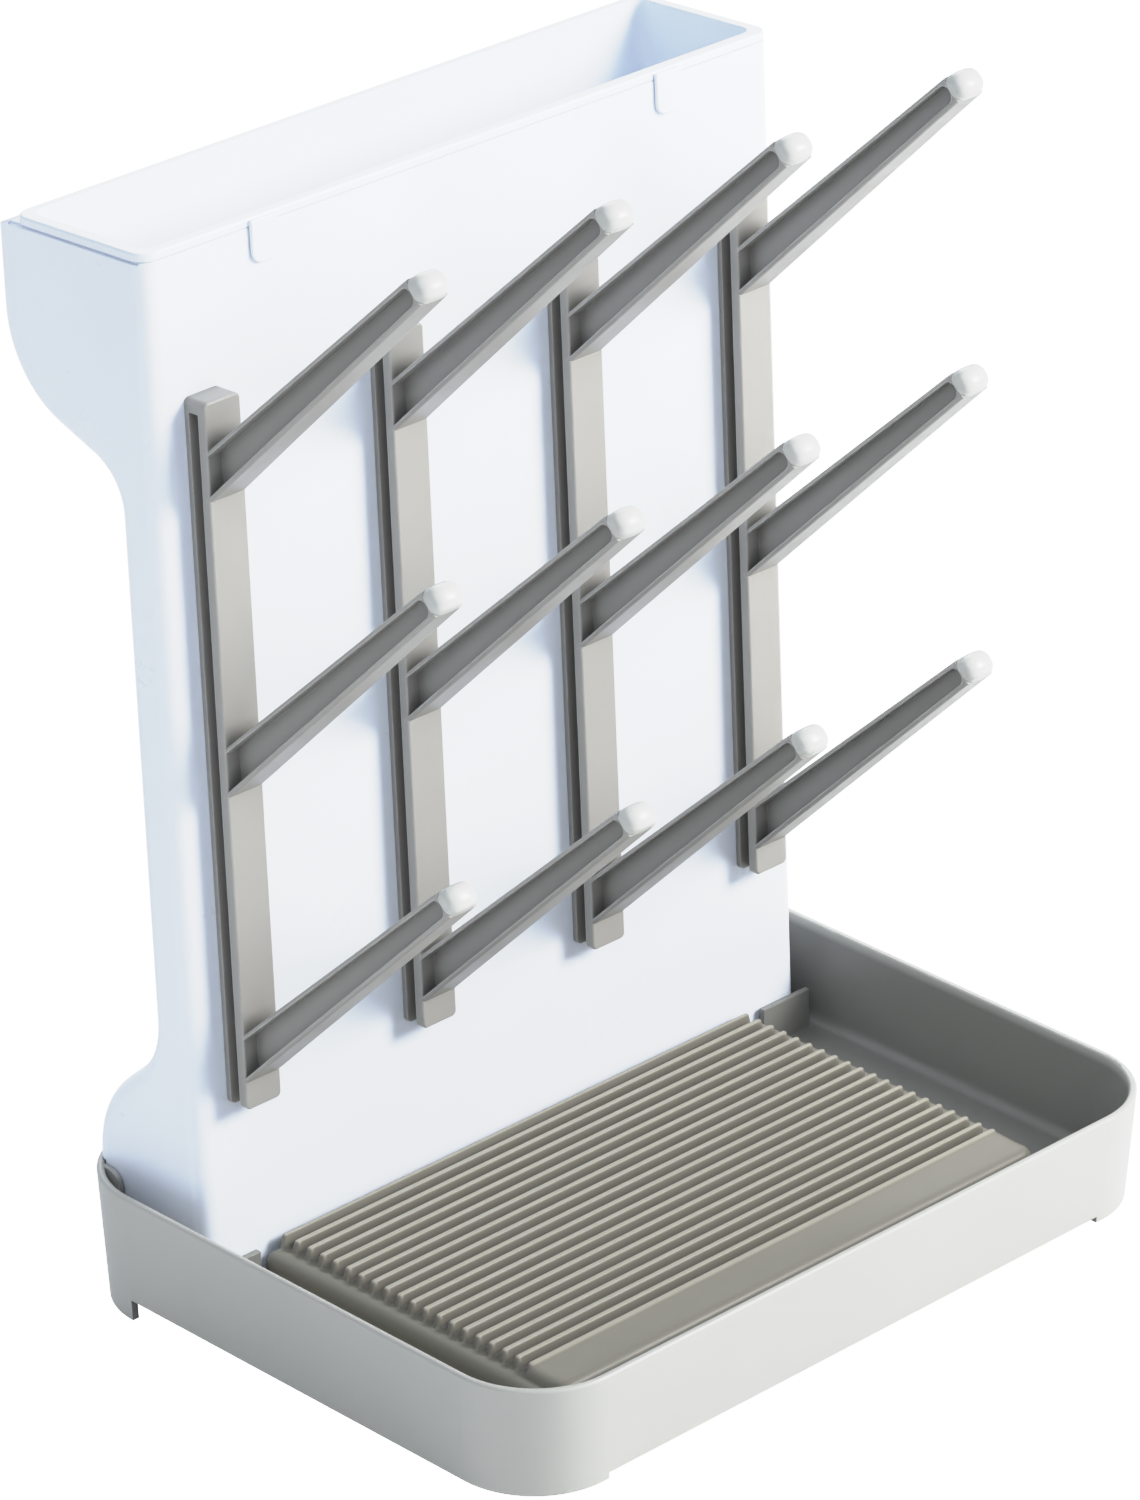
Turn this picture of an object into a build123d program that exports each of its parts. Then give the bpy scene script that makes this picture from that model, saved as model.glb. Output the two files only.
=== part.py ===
from build123d import *
import math
import os

# Bottle drying rack.  Millimetres, +Z up.  X runs along the rack, -Y is the front and +Y is the back.
# The parts are drawn with the origin on the ground under the middle of the tray, and the whole rack
# is then moved along Y until the origin is under the middle of its footprint.

# ---- tray ----
TRAY_LENGTH = 308.0
TRAY_DEPTH = 228.0
TRAY_CORNER = 34.0
TRAY_WALL = 2.7
TRAY_DRAFT = 4.0            # degrees that the wall leans in towards the ground
RIM_Z = 49.2
RIM_EDGE = 1.1              # rounding of the rim
REAR_FOOT_Z = 0.6           # lower end of the two rear corners
WALL_END_Z = 8.5            # lower end of the front corners and of the end and back walls
FRONT_END_Z = 10.8          # lower end of the front wall between its corners
FRONT_END_HALF = 117.0
FLOOR_TOP_Z = 12.7
FLOOR_THICKNESS = 2.5
FLOOR_FILLET = 4.0
OVER = 10.0                 # how far a cutting form runs past what it cuts

# ---- tower ----
TOWER_LENGTH = 282.8
TOWER_LEAN = 3.2            # degrees that the front face leans back
TOWER_FRONT_Y = 53.9        # front face at the height of the tray's rim
TOWER_TOP = 332.3           # along the front face, above the tray's rim
TOWER_WAIST = 20.4          # thickness of the waist
TOWER_EDGE = 6.0            # radius of the long outer edges
TOWER_WALL = 2.2
TOWER_FOOT_Z = 12.9
TOWER_FOOT_WALL = 2.8       # where the foot follows the tray's walls and floor rounding
BIN_DEPTH = 72.0            # front face to the bin's back
BIN_UNDER = 275.7           # underside of the bin, carried out to its back face
BIN_UNDER_SLOPE = 22.2
BASE_BACK_Y = 107.6
BASE_SHOULDER_Z = 70.8      # shoulder of the base, carried out to its back face
WAIST_FOOT = 50.2           # where the waist meets the base's shoulder
BIN_CORNER_R = 39.0
WAIST_TOP_R = 18.0
WAIST_FOOT_R = 28.0
BASE_CORNER_R = 40.0
SHOULDER_R = 8.0            # at the tower's top back edge
SHOULDER_STEP = 1.0         # how far the hollow's own shoulder sits inside
SHOULDER_WALL = 1.2

# ---- liner ----
RIM_DEPTH = 62.0            # front face to the back of the rim
RIM_HEIGHT = 3.0
RIM_GAP = 0.15              # between the rim and the tower's top
REBATE_HEIGHT = 0.8         # step in the tower's top edge, in shadow under the rim
REBATE_DEPTH = 1.1
REBATE_START = 3.0          # behind the front face
RIM_ROUND = 0.8
RIM_LAND = 2.0              # rim past the liner's own back wall
LINER_WALL = 1.6
LINER_DEPTH = 60.0
LINER_CLEARANCE = 0.5
LINER_CORNER = 5.0
LINER_SLOPE = 0.16          # how the liner's back and ends draw in towards its floor
LINER_ENDS_SLOPE = 0.03
DRAIN_COLUMNS = 9
DRAIN_PITCH = 28.0
DRAIN_ROW_PITCH = 14.0
DRAIN_RADIUS = 2.5
DRAIN_ROWS = 2
DRAIN_FIRST = 19.0          # nearest row behind the front face
TAB_X = 91.0
TAB_WIDTH = 11.0
TAB_DROP = 12.3
TAB_THICKNESS = 1.3
TAB_CORNER = 4.0
TAB_EDGE = 0.4
TAB_GAP = 0.25              # between a tab and the front face
BRIDGE_FRONT = 0.6          # the tab's bridge into the rim, ahead of and behind the front face
BRIDGE_BACK = 1.0

# ---- rails, pegs and caps, in the frame of the leaning front face ----
RAIL_COUNT = 4
RAIL_PITCH = 80.2
RAIL_WIDTH = 15.3
RAIL_DEPTH = 9.8
RAIL_LOW = 35.2             # along the face, above the tray's rim
RAIL_HIGH = 284.2
RAIL_REAR = 1.9             # thickness of the rear flange
RAIL_FRONT = 3.5            # thickness of the front plate
RAIL_WEB = 6.0
RAIL_CAP = 4.5              # solid top end above the side grooves
RAIL_CORNER = 2.0
RAIL_EDGE = 0.7
FACE_GAP = 0.1
PEG_COUNT = 3
PEG_TOP = 259.7             # root of the top peg, on the rail's front
PEG_PITCH = 102.7
PEG_TILT = 41.1             # degrees between a peg and the face's normal
PEG_LENGTH = 129.3
PEG_ROOT_HEIGHT = 13.4
PEG_TIP_HEIGHT = 9.2
PEG_TIP_WIDTH = 12.4
PEG_FLANGE = 1.5
PEG_WEB = 3.2
PEG_EDGE = 1.0
PEG_BURIED = 14.0           # run back into the rail's front plate
PEG_END_WALL = 0.6          # past the round end of a peg's recess
CAP_LENGTH = 5.2
CAP_SIDE_RADIUS = 3.4
CAP_RADIUS = 4.3
SPIGOT_LENGTH = 3.0
SPIGOT_INSET = 2.4          # spigot's step in from the peg's sides
CAP_PLAY = 0.1
SPIGOT_ROOT = 0.5           # run back into the peg's tip
TONGUE_HEIGHTS = (60.0, 160.0, 260.0)
TONGUE_WIDTH = 6.0
TONGUE_HEIGHT = 12.0
TONGUE_REACH = 6.0
SLOT_PLAY = 0.4

# ---- drip plate ----
PLATE_HALF = 118.0
PLATE_FRONT_Y = -86.8
PLATE_BACK_Y = 51.1
PLATE_CORNER = 10.0         # at the front
PLATE_REAR_CORNER = 3.0
PLATE_CREST_Z = 30.6
PLATE_WALL = 2.0
PLATE_EDGE = 3.3
PLATE_LEDGE_EDGE = 4.5      # rounding of the low ledge past the ribs' ends
RIB_COUNT = 20
RIB_PITCH = 6.16
RIB_WIDTH = 3.8
RIB_DEPTH = 4.3
RIB_HALF = 112.3
RIB_FIRST_Y = -68.8         # rib nearest to the front
PLATE_SEAT_Z = 12.9
RIB_ROOT = 1.0              # how far a rib runs down into the deck
RIB_ROUND = 1.5
RIB_SLACK = 0.1             # keeps a flat strip between a rib's two end rounds
MARGIN_GAP = 0.5            # from the margin's step to the first rib's middle
PLATE_LAND = 3.0            # back edge cut higher to rest on the partition
PARTITION_PLAY = 0.4

# ---- tower seat in the tray ----
SEAT_CLEARANCE = 0.5
RIM_CLEARANCE = 0.3         # under the tower where it stands over the tray's rim
COLLAR_WALL = 1.9
COLLAR_TOP_Z = 48.5
COLLAR_ARM = 15.5           # how far the collar runs along the tower's ends
COLLAR_ROUND = 6.0
PARTITION_TOP_Z = 27.6
PARTITION_LOW_Z = 20.0      # under the plate's back edge
PARTITION_WALL = 2.2
PARTITION_GAP_HALF = 120.5

# ---- foot pads ----
PAD_RADIUS = 7.0
PAD_THICKNESS = 6.0
PAD_X = 120.0
PAD_Y = 80.0
PAD_BOSS_WALL = 2.0
PAD_BOSS_Z = 2.0
PAD_EDGE = 0.8

lean_tan = math.tan(math.radians(TOWER_LEAN))
face_frame = Pos(0, TOWER_FRONT_Y, RIM_Z) * Rot(-TOWER_LEAN, 0, 0)


def front_y(z):
    """Y of the tower's front face at height z."""
    return TOWER_FRONT_Y + lean_tan * (z - RIM_Z)


def face_point(back, up):
    """A point (y, z) given by its distance behind the front face and its height along it."""
    lean = math.radians(TOWER_LEAN)
    y = TOWER_FRONT_Y + back * math.cos(lean) + up * math.sin(lean)
    z = RIM_Z - back * math.sin(lean) + up * math.cos(lean)
    return y, z


def block(x0, x1, y0, y1, z0, z1):
    """A plain block between two corners."""
    centre = Pos((x0 + x1) / 2, (y0 + y1) / 2, (z0 + z1) / 2)
    return centre * Box(x1 - x0, y1 - y0, z1 - z0)


def rounded_prism(length, depth, radius, z_top, z_low, draft=0.0, y_mid=0.0):
    """A rounded rectangle at z_top, run down to z_low and drawn in by the draft."""
    outline = Pos(0, y_mid, z_top) * RectangleRounded(length, depth, radius)
    return extrude(outline, amount=-(z_top - z_low), taper=draft)


# ------------------------------------------------------------------ tray

def tray_well(clearance, z_top):
    """The inside of the tray up to a height, drawn in all round by a clearance."""
    lean_out = (z_top - RIM_Z) * math.tan(math.radians(TRAY_DRAFT))
    grow = lean_out - TRAY_WALL - clearance
    size = (TRAY_LENGTH + 2 * grow, TRAY_DEPTH + 2 * grow, TRAY_CORNER + grow)
    return rounded_prism(*size, z_top, FLOOR_TOP_Z, TRAY_DRAFT)


def round_floor(well):
    """The same well with the rounding between the tray's floor and its walls."""
    return fillet(well.faces().sort_by(Axis.Z)[0].edges(), FLOOR_FILLET)


def tray_shell():
    """The drafted wall and its floor, standing on two rear corners."""
    outer = rounded_prism(TRAY_LENGTH, TRAY_DEPTH, TRAY_CORNER, RIM_Z, REAR_FOOT_Z, TRAY_DRAFT)
    inner_size = (TRAY_LENGTH - 2 * TRAY_WALL, TRAY_DEPTH - 2 * TRAY_WALL, TRAY_CORNER - TRAY_WALL)
    over_x = TRAY_LENGTH
    over_y = TRAY_DEPTH
    under_full = rounded_prism(*inner_size, RIM_Z, REAR_FOOT_Z, TRAY_DRAFT)
    under = under_full & block(-over_x, over_x, -over_y, over_y, 0, FLOOR_TOP_Z - FLOOR_THICKNESS)
    rear_x = TRAY_LENGTH / 2 - TRAY_CORNER
    rear_y = TRAY_DEPTH / 2 - TRAY_CORNER
    between_feet = block(-rear_x, rear_x, -over_y, over_y, 0, WALL_END_Z)
    ahead_of_feet = block(-over_x, over_x, -over_y, rear_y, 0, WALL_END_Z)
    front_step = block(-FRONT_END_HALF, FRONT_END_HALF, -over_y, 0, 0, FRONT_END_Z)
    shell = outer - round_floor(tray_well(0, RIM_Z)) - under - between_feet - ahead_of_feet - front_step
    rim_edges = shell.edges().group_by(Axis.Z)[-1]
    return fillet(rim_edges, RIM_EDGE)


def seat_space(low_z):
    """The room that the tower's foot takes in the tray, from a height up to the rim."""
    depth = BASE_BACK_Y + SEAT_CLEARANCE - TOWER_FRONT_Y
    y_mid = TOWER_FRONT_Y + depth / 2
    length = TOWER_LENGTH + 2 * SEAT_CLEARANCE
    return rounded_prism(length, depth, TOWER_EDGE + SEAT_CLEARANCE, RIM_Z, low_z, 0, y_mid)


def collar():
    """Two rear arms that wrap the ends of the tower's foot and run into the tray's back wall."""
    foot = FLOOR_TOP_Z - FLOOR_THICKNESS / 2
    reach = TOWER_LENGTH / 2 + SEAT_CLEARANCE + COLLAR_WALL
    front = BASE_BACK_Y + SEAT_CLEARANCE - COLLAR_ARM
    arms = block(-reach, reach, front, TRAY_DEPTH / 2, foot, COLLAR_TOP_Z)
    top_front_edge = arms.edges().filter_by(Axis.X).sort_by(lambda e: e.center().Z - e.center().Y)[-1]
    arms = fillet(top_front_edge, COLLAR_ROUND)
    half_wall = TRAY_WALL / 2
    size = (TRAY_LENGTH - TRAY_WALL, TRAY_DEPTH - TRAY_WALL, TRAY_CORNER - half_wall)
    within_wall = rounded_prism(*size, RIM_Z, REAR_FOOT_Z, TRAY_DRAFT)
    return (arms & within_wall) - seat_space(foot)


def partition():
    """The low wall in front of the tower's foot, lower still under the plate's back edge."""
    foot = FLOOR_TOP_Z - FLOOR_THICKNESS / 2
    reach = TOWER_LENGTH / 2 + SEAT_CLEARANCE + COLLAR_WALL
    face = front_y(FLOOR_TOP_Z) - SEAT_CLEARANCE
    wall = block(-reach, reach, face - PARTITION_WALL, face, foot, PARTITION_TOP_Z)
    gap_half = PARTITION_GAP_HALF
    gap = block(-gap_half, gap_half, face - OVER, face + OVER, PARTITION_LOW_Z, RIM_Z)
    return wall - gap


def pad_bosses():
    """Round sockets under the floor that hold the foot pads."""
    low = PAD_BOSS_Z
    high = FLOOR_TOP_Z - FLOOR_THICKNESS / 2
    radius = PAD_RADIUS + CAP_PLAY
    socket = Pos(0, 0, PAD_THICKNESS + CAP_PLAY - high) * Cylinder(radius, high - low)
    boss = Cylinder(radius + PAD_BOSS_WALL, high - low) - socket
    return [Pos(x, y, (low + high) / 2) * boss for x, y in pad_places()]


def pad_places():
    return [(sx * PAD_X, sy * PAD_Y) for sy in (-1, 1) for sx in (-1, 1)]


def make_tray():
    tray = tray_shell() + collar() + partition()
    for boss in pad_bosses():
        tray = tray + boss
    return tray


def make_foot_pad(place):
    x, y = place
    pad = Pos(x, y, PAD_THICKNESS / 2) * Cylinder(PAD_RADIUS, PAD_THICKNESS)
    return fillet(pad.edges().sort_by(Axis.Z)[0], PAD_EDGE)


# ------------------------------------------------------------------ tower

def tower_outline(inset, z_low, top):
    """Side outline of the tower in the YZ plane, drawn in by the inset."""
    rise = math.tan(math.radians(BIN_UNDER_SLOPE))
    under_front = BIN_UNDER - rise * (BIN_DEPTH - TOWER_WAIST)
    corners = [
        ((front_y(z_low), z_low), 0),
        (face_point(0, top), 0),
        (face_point(BIN_DEPTH, top), 0),
        (face_point(BIN_DEPTH, BIN_UNDER), BIN_CORNER_R),
        (face_point(TOWER_WAIST, under_front), WAIST_TOP_R),
        (face_point(TOWER_WAIST, WAIST_FOOT), WAIST_FOOT_R),
        ((BASE_BACK_Y, BASE_SHOULDER_Z), BASE_CORNER_R),
        ((BASE_BACK_Y, z_low), 0),
    ]
    outline = make_face(Polyline(*[point for point, _ in corners], close=True))
    for (y, z), radius in corners:
        if radius > 0:
            corner = outline.vertices().sort_by_distance((y, z, 0))[0]
            outline = fillet(corner, radius)
    if inset > 0:
        outline = offset(outline, amount=-inset, kind=Kind.INTERSECTION)
    return outline


def tower_body(inset, z_low, top):
    """The tower's outer form, or its hollow when inset, with its long edges rounded."""
    half = TOWER_LENGTH / 2 - inset
    body = extrude(Plane.YZ * tower_outline(inset, z_low, top), amount=half, both=True)
    ends = [e for e in body.edges() if abs(abs(e.center().X) - half) < 0.01]
    low = body.bounding_box().min.Z
    high = body.bounding_box().max.Z
    long_edges = [e for e in ends if low + 0.01 < e.center().Z < high - TOWER_EDGE]
    return fillet(long_edges, TOWER_EDGE - inset)


def in_seat(body, well, top):
    """A tower form whose foot, from the tray's floor up to a height, stays inside a well."""
    over = 2 * TOWER_LENGTH
    above = body & block(-over, over, -over, over, top, over)
    foot = body & block(-over, over, -over, over, FLOOR_TOP_Z, top)
    return above + (foot & well)


def face_block(x_half, back_0, back_1, up_0, up_1):
    """A block in the frame of the front face, centred along X."""
    return face_frame * block(-x_half, x_half, back_0, back_1, up_0, up_1)


def shoulder_cutter():
    """What rounds the top back edge of the tower."""
    r = SHOULDER_R
    back = BIN_DEPTH - r
    corner = block(-TOWER_LENGTH, TOWER_LENGTH, back, back + 2 * r, TOWER_TOP - r, TOWER_TOP + r)
    round_bar = Pos(0, back, TOWER_TOP - r) * Rot(0, 90, 0) * Cylinder(r, 3 * TOWER_LENGTH)
    return face_frame * (corner - round_bar)


def shoulder_bar():
    """Keeps the wall whole behind the rounded shoulder."""
    reach = SHOULDER_R - SHOULDER_STEP
    back = BIN_DEPTH - reach
    over = TOWER_LENGTH
    corner = block(-over, over, back, BIN_DEPTH, TOWER_TOP - reach, TOWER_TOP)
    round_bar = Rot(0, 90, 0) * Cylinder(reach - SHOULDER_WALL, 3 * over)
    return face_frame * (corner - Pos(0, back, TOWER_TOP - reach) * round_bar)


def liner_well(inset, low, high):
    """The liner's form in the face's frame: upright front, back and ends drawn in towards its floor."""
    depth = RIM_DEPTH - RIM_LAND
    sections = []
    for up in (low, high):
        drop = TOWER_TOP - up
        x_half = TOWER_LENGTH / 2 - inset - LINER_ENDS_SLOPE * drop
        back = depth - (inset - TOWER_WALL) - LINER_SLOPE * drop
        plane = Plane((0, (inset + back) / 2, up))
        sections.append(plane * RectangleRounded(2 * x_half, back - inset, LINER_CORNER))
    return loft(sections)


def rail_x(index):
    return (index - (RAIL_COUNT - 1) / 2) * RAIL_PITCH


def tongue_slots():
    """Slots through the front wall for the rails' tongues."""
    slots = []
    for index in range(RAIL_COUNT):
        for height in TONGUE_HEIGHTS:
            cut = Box(TONGUE_WIDTH + SLOT_PLAY, 4 * TOWER_WALL, TONGUE_HEIGHT + SLOT_PLAY)
            slots.append(face_frame * (Pos(rail_x(index), 0, height) * cut))
    return slots


def rebate():
    """The step round the top edge of the tower's ends and back."""
    over = 2 * TOWER_LENGTH
    low = TOWER_TOP - REBATE_HEIGHT
    high = TOWER_TOP + OVER
    size = (TOWER_LENGTH - 2 * REBATE_DEPTH, BIN_DEPTH + TOWER_EDGE, TOWER_EDGE - REBATE_DEPTH)
    kept = rounded_prism(*size, high + OVER, low - OVER, 0, BIN_DEPTH / 2)
    ring = block(-over, over, REBATE_START, BIN_DEPTH - SHOULDER_R, low, high)
    return face_frame * (ring - kept)


def make_tower():
    over = 2 * TOWER_LENGTH
    high = TOWER_TOP + OVER
    foot_top = RIM_Z + RIM_CLEARANCE
    seat = round_floor(tray_well(SEAT_CLEARANCE, foot_top))
    outer = in_seat(tower_body(0, TOWER_FOOT_Z, high), seat, foot_top) - shoulder_cutter()
    outer = outer - face_block(over, -over, over, TOWER_TOP, high + OVER)
    hollow_top = foot_top + TOWER_WALL
    seat = tray_well(SEAT_CLEARANCE + TOWER_FOOT_WALL, hollow_top)
    hollow = in_seat(tower_body(TOWER_WALL, TOWER_FOOT_Z - OVER, high), seat, hollow_top)
    hollow = hollow - face_block(over, -over, over, TOWER_TOP - TOWER_WALL, high + OVER)
    hollow = hollow - shoulder_bar()
    mouth = face_frame * liner_well(TOWER_WALL, TOWER_TOP - 2 * SHOULDER_R, TOWER_TOP + OVER / 2)
    tower = outer - hollow - mouth - rebate()
    for slot in tongue_slots():
        tower = tower - slot
    return tower


# ------------------------------------------------------------------ liner

def liner_rim():
    """The proud rim, flush with the tower's front and ends, in the face's frame."""
    low = TOWER_TOP + RIM_GAP
    rim = rounded_prism(TOWER_LENGTH, RIM_DEPTH, TOWER_EDGE, low + RIM_HEIGHT, low, 0, RIM_DEPTH / 2)
    return fillet(rim.edges().group_by(Axis.Z)[-1], RIM_ROUND)


def liner_tab(side):
    """A small tab from the rim down over the tower's front wall, in the face's frame."""
    high = TOWER_TOP + RIM_GAP + RIM_HEIGHT - RIM_ROUND
    low = TOWER_TOP - TAB_DROP
    tab = Box(TAB_WIDTH, TAB_THICKNESS, high - low)
    tab = fillet(tab.edges().filter_by(Axis.Y).group_by(Axis.Z)[0], TAB_CORNER)
    tab = fillet(tab.faces().sort_by(Axis.Y)[0].edges(), TAB_EDGE)
    tab = Pos(side * TAB_X, -TAB_THICKNESS / 2 - TAB_GAP, (high + low) / 2) * tab
    x0 = side * TAB_X - TAB_WIDTH / 2
    bridge_low = TOWER_TOP + 2 * RIM_GAP
    bridge_high = high - RIM_GAP
    return tab + block(x0, x0 + TAB_WIDTH, -BRIDGE_FRONT, BRIDGE_BACK, bridge_low, bridge_high)


def drain_holes():
    """Rows of round holes through the liner's floor, in the face's frame."""
    up = TOWER_TOP - LINER_DEPTH
    holes = []
    for column in range(DRAIN_COLUMNS):
        for row in range(DRAIN_ROWS):
            x = (column - (DRAIN_COLUMNS - 1) / 2) * DRAIN_PITCH
            back = DRAIN_FIRST + DRAIN_ROW_PITCH * row
            holes.append(Pos(x, back, up) * Cylinder(DRAIN_RADIUS, 8 * LINER_WALL))
    return holes


def make_liner():
    low = TOWER_TOP - LINER_DEPTH
    high = TOWER_TOP + RIM_GAP + RIM_HEIGHT
    outside = TOWER_WALL + LINER_CLEARANCE
    outer = liner_well(outside, low, high - RIM_HEIGHT / 3)
    inner = liner_well(outside + LINER_WALL, low + LINER_WALL, high + RIM_HEIGHT)
    liner = liner_rim() + outer - inner
    for side in (-1, 1):
        liner = liner + liner_tab(side)
    for hole in drain_holes():
        liner = liner - hole
    return face_frame * liner


# ------------------------------------------------------------------ rails and pegs

def rail_bar():
    """The I-section bar in the face's frame: -Y is away from the tower, Z runs up the face."""
    length = RAIL_HIGH - RAIL_LOW
    middle = (RAIL_HIGH + RAIL_LOW) / 2
    depth = RAIL_DEPTH - FACE_GAP
    bar = Pos(0, -FACE_GAP - depth / 2, middle) * Box(RAIL_WIDTH, depth, length)
    bar = fillet(bar.edges().filter_by(Axis.Y), RAIL_CORNER)
    bar = fillet(bar.faces().sort_by(Axis.Y)[0].edges(), RAIL_EDGE)
    groove_y0 = -RAIL_DEPTH + RAIL_FRONT
    groove_y1 = -FACE_GAP - RAIL_REAR
    low = RAIL_LOW - OVER
    high = RAIL_HIGH - RAIL_CAP
    for x0, x1 in ((-RAIL_WIDTH, -RAIL_WEB / 2), (RAIL_WEB / 2, RAIL_WIDTH)):
        bar = bar - block(x0, x1, groove_y0, groove_y1, low, high)
    return bar


def peg_frame(index):
    """Frame of a peg: its X runs out along the peg, its Z is up across the peg."""
    height = PEG_TOP - index * PEG_PITCH
    return Pos(0, -RAIL_DEPTH, height) * Rot(0, 0, -90) * Rot(0, -PEG_TILT, 0)


def peg_height(distance):
    """Height of the peg's section at a distance from the rail."""
    return PEG_ROOT_HEIGHT + (PEG_TIP_HEIGHT - PEG_ROOT_HEIGHT) * distance / PEG_LENGTH


def peg_width(distance):
    return RAIL_WIDTH + (PEG_TIP_WIDTH - RAIL_WIDTH) * distance / PEG_LENGTH


def peg_recess():
    """The recess in one side of a peg, with a round end near the tip, as a prism along Y."""
    end = PEG_LENGTH - PEG_END_WALL
    tip_half = peg_height(end) / 2 - PEG_FLANGE
    root_half = peg_height(-PEG_BURIED) / 2 - PEG_FLANGE
    round_start = end - tip_half
    sides = Polyline(
        (round_start, -tip_half), (-PEG_BURIED, -root_half), (-PEG_BURIED, root_half), (round_start, tip_half)
    )
    round_end = ThreePointArc((round_start, tip_half), (end, 0), (round_start, -tip_half))
    return extrude(Plane.XZ * make_face(sides + round_end), amount=RAIL_WIDTH)


def spigot():
    """The stub on a peg's tip that holds its cap."""
    width = PEG_TIP_WIDTH - 2 * SPIGOT_INSET
    height = PEG_TIP_HEIGHT - 2 * SPIGOT_INSET
    x0 = PEG_LENGTH - SPIGOT_ROOT
    x1 = PEG_LENGTH + SPIGOT_LENGTH
    return block(x0, x1, -width / 2, width / 2, -height / 2, height / 2)


def peg_body():
    """One tapered peg with a deep recess in each side, in its own frame."""
    sections = []
    for distance in (-PEG_BURIED, PEG_LENGTH):
        plane = Plane((distance, 0, 0), x_dir=(0, 1, 0), z_dir=(1, 0, 0))
        sections.append(plane * RectangleRounded(peg_width(distance), peg_height(distance), PEG_EDGE))
    peg = loft(sections)
    recess = Pos(0, -PEG_WEB / 2, 0) * peg_recess()
    return peg - recess - mirror(recess, Plane.XZ) + spigot()


def ahead_of_rail():
    """Keeps only what lies in front of the middle of the rail's front plate."""
    over = 2 * RAIL_HIGH
    return block(-over, over, -over, -RAIL_DEPTH + RAIL_FRONT / 2, -over, over)


def rail_tongues():
    """Tongues on the rail's back that enter the tower's slots."""
    y1 = TOWER_WALL + TONGUE_REACH
    half = TONGUE_WIDTH / 2
    tongues = []
    for height in TONGUE_HEIGHTS:
        z0 = height - TONGUE_HEIGHT / 2
        tongues.append(block(-half, half, -RAIL_REAR, y1, z0, z0 + TONGUE_HEIGHT))
    return tongues


def make_rail(index):
    rail = rail_bar()
    peg = peg_body()
    for peg_index in range(PEG_COUNT):
        rail = rail + ((peg_frame(peg_index) * peg) & ahead_of_rail())
    for tongue in rail_tongues():
        rail = rail + tongue
    return face_frame * (Pos(rail_x(index), 0, 0) * rail)


def make_tip_cap(rail_index, peg_index):
    """A soft cup with a rounded end over the peg's spigot."""
    cap = Pos(PEG_LENGTH + CAP_PLAY + CAP_LENGTH / 2, 0, 0) * Box(CAP_LENGTH, PEG_TIP_WIDTH, PEG_TIP_HEIGHT)
    cap = fillet(cap.edges().filter_by(Axis.X), CAP_SIDE_RADIUS)
    cap = fillet(cap.faces().sort_by(Axis.X)[-1].edges(), CAP_RADIUS)
    pocket_width = PEG_TIP_WIDTH - 2 * SPIGOT_INSET + 2 * CAP_PLAY
    pocket_height = PEG_TIP_HEIGHT - 2 * SPIGOT_INSET + 2 * CAP_PLAY
    pocket = Box(SPIGOT_LENGTH + 2 * CAP_PLAY, pocket_width, pocket_height)
    cap = cap - Pos(PEG_LENGTH + SPIGOT_LENGTH / 2, 0, 0) * pocket
    return face_frame * (Pos(rail_x(rail_index), 0, 0) * (peg_frame(peg_index) * cap))


# ------------------------------------------------------------------ drip plate

def rib(index):
    """One rib with a rounded crest and rounded ends."""
    y = RIB_FIRST_Y + index * RIB_PITCH
    height = RIB_DEPTH + RIB_ROOT
    body = Box(2 * RIB_HALF, RIB_WIDTH, height)
    body = fillet(body.edges().filter_by(Axis.Z), RIB_WIDTH / 2 - RIB_SLACK)
    body = fillet(body.faces().sort_by(Axis.Z)[-1].edges(), RIB_ROUND)
    return Pos(0, y, PLATE_CREST_Z - height / 2) * body


def plate_slab(inset, z_top, z_low):
    """A slab with the plate's outline, drawn in by the inset: large front corners, small rear ones."""
    width = 2 * (PLATE_HALF - inset)
    depth = PLATE_BACK_Y - PLATE_FRONT_Y - 2 * inset
    outline = Pos(0, (PLATE_BACK_Y + PLATE_FRONT_Y) / 2, z_top) * Rectangle(width, depth)
    outline = fillet(outline.vertices().group_by(Axis.Y)[0], PLATE_CORNER - inset)
    outline = fillet(outline.vertices().group_by(Axis.Y)[-1], PLATE_REAR_CORNER - inset)
    return extrude(outline, amount=-(z_top - z_low))


def make_drip_plate():
    """A shallow hollow slab: ribs on a low deck, with a raised margin along the front."""
    deck_z = PLATE_CREST_Z - RIB_DEPTH
    deck = plate_slab(0, deck_z, PLATE_SEAT_Z)
    deck = fillet(deck.faces().sort_by(Axis.Z)[-1].edges(), PLATE_LEDGE_EDGE)
    margin = plate_slab(0, PLATE_CREST_Z, PLATE_SEAT_Z)
    margin = fillet(margin.faces().sort_by(Axis.Z)[-1].edges(), PLATE_EDGE)
    over = 2 * PLATE_HALF
    margin = margin & block(-over, over, -over, RIB_FIRST_Y - MARGIN_GAP, 0, RIM_Z)
    plate = deck + margin - plate_slab(PLATE_WALL, deck_z - PLATE_WALL, PLATE_SEAT_Z - OVER)
    land_z = PARTITION_LOW_Z + PARTITION_PLAY
    plate = plate - block(-over, over, PLATE_BACK_Y - PLATE_LAND, over, 0, land_z)
    for index in range(RIB_COUNT):
        plate = plate + rib(index)
    return plate


# ------------------------------------------------------------------ all parts

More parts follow.
